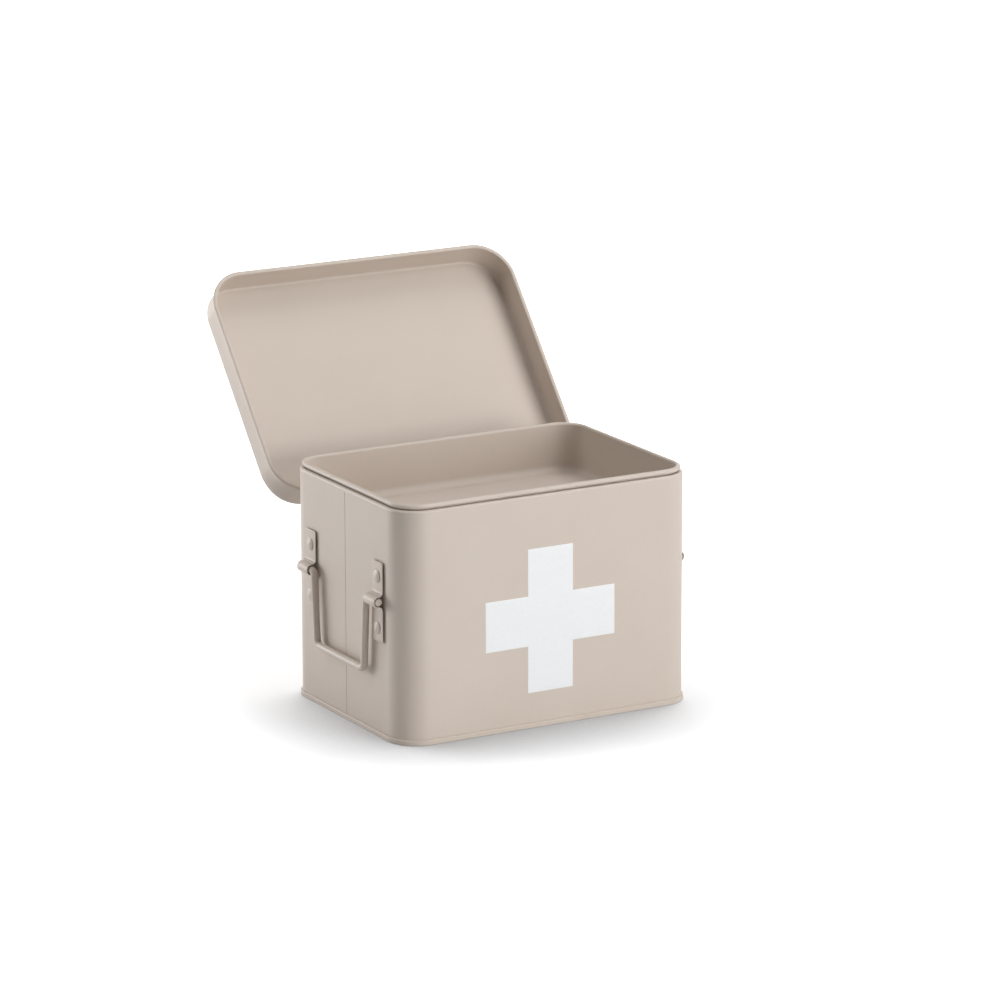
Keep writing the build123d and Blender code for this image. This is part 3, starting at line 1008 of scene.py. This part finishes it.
@dataclass(frozen=True)
class StudioFloor:
    """White paper sweep under the box, with a contact shadow painted near it; the rest reads as
    white.

    Attributes:
        colour: Colour of the paper.
        bounce: Share of its light that the paper throws back on to the box.
        lift: Light of its own that the camera sees close to the box.
        contact_m: How far from the box the painted contact shadow reaches.
        contact_dark: Share of the paper's colour and glow that the painted shadow leaves where the
            box stands.
        lean: Direction that the painted contact shadow falls away from, behind the box on the
            right.
        near_m: Distance from the box's middle at which the paper starts to turn plain white.
        far_m: Distance at which it is plain white.
        size_m: Width of the sheet.
        samples: Rays that look for what stands close.
        least_open: Open share at which the painted contact shadow is at its darkest.
        roughness: Roughness of the matt paper.
        reflectance: Specular level of the paper.
    """

    colour: str = "#F3F4F6"
    bounce: float = 0.83
    lift: float = 0.54
    contact_m: float = 0.101
    contact_dark: float = 0.27
    lean: tuple[float, float, float] = (0.65, 1.0, 0.8)
    near_m: float = 0.35
    far_m: float = 0.9
    size_m: float = 60.0
    samples: int = 12
    least_open: float = 0.25
    roughness: float = 0.9
    reflectance: float = 0.1

    def build(self) -> None:
        """Makes the floor as one flat sheet."""
        half = self.size_m / 2
        corners = [(-half, -half, 0.0), (half, -half, 0.0), (half, half, 0.0), (-half, half, 0.0)]
        mesh = bpy.data.meshes.new("studio_floor")
        mesh.from_pydata(corners, [], [(0, 1, 2, 3)])
        mesh.materials.append(new_material("studio_paper_matt_white", self.sockets))
        floor = placed("studio_floor", mesh)

    def sockets(self, tree: NodeTree, place: NodeSocket) -> Sockets:
        """Matt white paper, darkened by a painted shadow where the box stands close, plain white
        far off.

        Its own light is seen by the camera and by mirror rays only.

        Args:
            tree: Node tree to add to.
            place: Object coordinates.

        Returns:
            Values and links of the shader.
        """
        seen = seen_directly(tree)
        # Painted contact shadow: where the box stands close, the open share of sky darkens the
        # paper's colour and glow as the camera sees them
        lean = add_node(tree, "ShaderNodeCombineXYZ", dict(enumerate(self.lean)))
        inputs = {"Distance": self.contact_m, "Normal": lean.outputs["Vector"]}
        close = add_node(tree, "ShaderNodeAmbientOcclusion", inputs, samples=self.samples)
        inputs = {0: close.outputs["AO"], 1: self.least_open, 3: self.contact_dark}
        painted_contact_shadow = add_node(tree, "ShaderNodeMapRange", inputs).outputs["Result"]
        inputs = {0: seen, MIX_A: (*[self.bounce] * 3, 1.0), MIX_B: painted_contact_shadow}
        shade = add_node(tree, "ShaderNodeMix", inputs, data_type="RGBA").outputs[MIX_OUT]
        inputs = {0: 1.0, MIX_A: linear(self.colour), MIX_B: shade}
        paper = add_node(tree, "ShaderNodeMix", inputs, data_type="RGBA", blend_type="MULTIPLY")
        away = add_node(tree, "ShaderNodeVectorMath", {0: place}, operation="LENGTH")
        inputs = {0: away.outputs["Value"], 1: self.near_m, 2: self.far_m, 3: self.lift}
        glow = add_node(tree, "ShaderNodeMapRange", inputs, interpolation_type="SMOOTHSTEP")
        strength = glow.outputs["Result"]
        for factor in (painted_contact_shadow, seen):
            inputs = {0: strength, 1: factor}
            node = add_node(tree, "ShaderNodeMath", inputs, operation="MULTIPLY")
            strength = node.outputs["Value"]
        return {
            "Base Color": paper.outputs[MIX_OUT],
            "Roughness": self.roughness,
            "Specular IOR Level": self.reflectance,
            "Emission Color": (1.0, 1.0, 1.0, 1.0),
            "Emission Strength": strength,
        }


def seen_directly(tree: NodeTree) -> NodeSocket:
    """One for rays from the camera and for mirrored and transmitted ones, and nought for others.

    Args:
        tree: Node tree to add to.

    Returns:
        Socket with that number.
    """
    path = add_node(tree, "ShaderNodeLightPath")
    seen = path.outputs["Is Camera Ray"]
    for kind in ("Transmission", "Glossy"):
        inputs = {0: seen, 1: path.outputs[f"Is {kind} Ray"]}
        seen = add_node(tree, "ShaderNodeMath", inputs, operation="MAXIMUM").outputs["Value"]
    return seen


@dataclass(frozen=True)
class SoftBox:
    """Large diffused lamp that looks at the middle of the box."""

    name: str
    azimuth_deg: float
    elevation_deg: float
    width_m: float
    height_m: float
    power_w: float
    distance_m: float = 2.2
    aim_m: tuple[float, float, float] = (0.0, 0.0, 0.10)

    def build(self) -> None:
        """Makes the lamp, turned to its aim."""
        lamp = bpy.data.lights.new(self.name, "AREA")
        lamp.shape = "RECTANGLE"
        lamp.size = self.width_m
        lamp.size_y = self.height_m
        lamp.energy = self.power_w
        away = direction(self.azimuth_deg, self.elevation_deg)
        lit = placed(self.name, lamp)
        lit.location = Vector(self.aim_m) + away * self.distance_m
        lit.rotation_euler = away.to_track_quat("Z", "Y").to_euler()


@dataclass
class Studio:
    """Plain soft light, a pale room and the floor."""

    floor: StudioFloor = StudioFloor()
    lamps: tuple[SoftBox, ...] = (
        SoftBox("front_low", 20.0, 8.4, 1.25, 0.84, 24.5),
        SoftBox("front_high", 30.0, 48.0, 1.0, 1.1, 15.3),
        SoftBox("rear_left_low", -145.0, 8.4, 1.25, 0.84, 27.2),
        SoftBox("rear_left_high", -122.0, 46.0, 1.0, 1.1, 7.7),
        SoftBox("rear_right_low", 150.0, 8.4, 1.0, 0.84, 8.4),
        SoftBox("left_overhead", -120.0, 70.0, 1.0, 1.1, 5.5),
        SoftBox("right_overhead", 95.0, 70.0, 1.2, 1.1, 9.0),
        SoftBox("overhead", 0.0, 89.0, 0.5, 0.5, 2.9),
    )

    def build(self) -> None:
        """Makes the floor, the lamps and the world."""
        self.floor.build()
        for lamp in self.lamps:
            lamp.build()
        world = bpy.data.worlds.new("pale_room")
        bpy.context.scene.world = world
        world.use_nodes = True
        tree = world.node_tree
        tree.nodes.clear()
        inputs = {"Color": (1.0, 1.0, 1.0, 1.0), "Strength": seen_directly(tree)}
        back = add_node(tree, "ShaderNodeBackground", inputs)
        add_node(tree, "ShaderNodeOutputWorld", {"Surface": back.outputs["Background"]})
        log.info("studio: %d lamps", len(self.lamps))


@dataclass(frozen=True)
class PhotoCamera:
    """Camera at the photograph's viewing angle, found from the edges of the box."""

    azimuth_deg: float = -29.525
    elevation_deg: float = 14.430
    roll_deg: float = -0.140
    distance_m: float = 3.3618
    target_m: tuple[float, float, float] = (0.00668, 0.0, 0.13141)
    focal_px: float = 5163.5
    picture_px: float = 1000.0
    sensor_mm: float = 36.0
    reach_m: float = 200.0

    def build(self) -> None:
        """Makes the camera and sets it as the scene's."""
        back = direction(self.azimuth_deg, self.elevation_deg)
        roll = Matrix.Rotation(math.radians(self.roll_deg), 4, "Z")
        lens = bpy.data.cameras.new("photo_camera")
        lens.sensor_width = self.sensor_mm
        lens.lens = self.focal_px * self.sensor_mm / self.picture_px
        lens.clip_end = self.reach_m
        camera = placed("photo_camera", lens)
        stand = Matrix.Translation(Vector(self.target_m) + back * self.distance_m)
        camera.matrix_world = stand @ back.to_track_quat("Z", "Y").to_matrix().to_4x4() @ roll
        bpy.context.scene.camera = camera


@dataclass
class MedicineBox:
    """The whole box: sheet metal, straps, rivets, handles and print."""

    finishes: Finishes = Finishes()
    half_depth: float = 77.0
    body_sheet: float = 0.7
    hinge_leaf: float = 0.8
    lid_hem: float = 1.2
    rivet_spread: float = 9.0
    body_rivet_drop: float = 10.5
    lid_rivet_rise: float = 2.6

    def build(self) -> None:
        """Builds the sub-assemblies in order."""
        SheetMetal(self.finishes).build()
        lid = Lid(self.finishes)
        lid.build()
        CrossPrint(self.finishes).build()
        strap = Strap(self.finishes)
        handle = WireHandle(self.finishes, strap)
        for side in Side:
            for end in End:
                strap.build(side, end)
            self.strap_rivets(strap, side)
            handle.build(side)
        self.hinge_rivets(lid)

    def strap_rivets(self, strap: Strap, side: Side) -> None:
        """Makes the four rivets that hold the straps of one side.

        Args:
            strap: The straps.
            side: Wall that they are riveted to.
        """
        out = strap.standoff + strap.sheet
        heights = strap.axis_height + np.array([strap.upper_rivet, strap.lower_rivet])
        y, z = np.meshgrid(np.array([-1.0, 1.0]) * strap.spacing / 2, heights)
        x = np.full(y.shape, side.value * (strap.wall + out))
        DomedRivets(self.finishes, grip=out + self.body_sheet).build(
            f"strap_rivets_{side.label}",
            "box",
            np.stack([x, y, z], axis=-1).reshape(-1, 3),
            np.array([side.value, 0.0, 0.0]),
            np.array([0.0, 1.0, 0.0]),
        )

    def hinge_rivets(self, lid: Lid) -> None:
        """Makes the rivets of the hinge leaves: on the back wall, and on the open lid.

        Two lie on each leaf, as far to one side of its middle as to the other.

        Args:
            lid: The lid, with its hinges and its rim.
        """
        middles, sides = np.meshgrid([-lid.hinge_middle, lid.hinge_middle], [-1.0, 1.0])
        along = (middles + sides * self.rivet_spread).T.ravel()
        wall = (self.half_depth + self.hinge_leaf, lid.hinge.height - self.body_rivet_drop)
        skirt = (lid.depth / 2, lid.rim + self.lid_rivet_rise)
        for part, body, sheet, place, hinge in (
            ("body", "box", self.body_sheet, wall, replace(lid.hinge, open_deg=0.0)),
            ("lid", "lid", self.lid_hem, skirt, lid.hinge),
        ):
            centres = np.insert(np.tile(place, (4, 1)), 0, along, axis=1)
            start, out = hinge.swung(np.array([[0.0, 0.0, 0.0], [0.0, 1.0, 0.0]]))
            LeafRivets(self.finishes, grip=self.hinge_leaf + sheet).build(
                f"hinge_{part}_rivets",
                body,
                hinge.swung(centres),
                out - start,
                np.array([1.0, 0.0, 0.0]),
            )


def main() -> None:
    """Builds the box, the studio and the camera."""
    logging.basicConfig(level=logging.INFO, format="%(name)s: %(message)s")
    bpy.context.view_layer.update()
    bpy.context.scene.view_settings.view_transform = "Standard"
    MedicineBox().build()
    Studio().build()
    PhotoCamera().build()


if __name__ == "__main__":
    main()
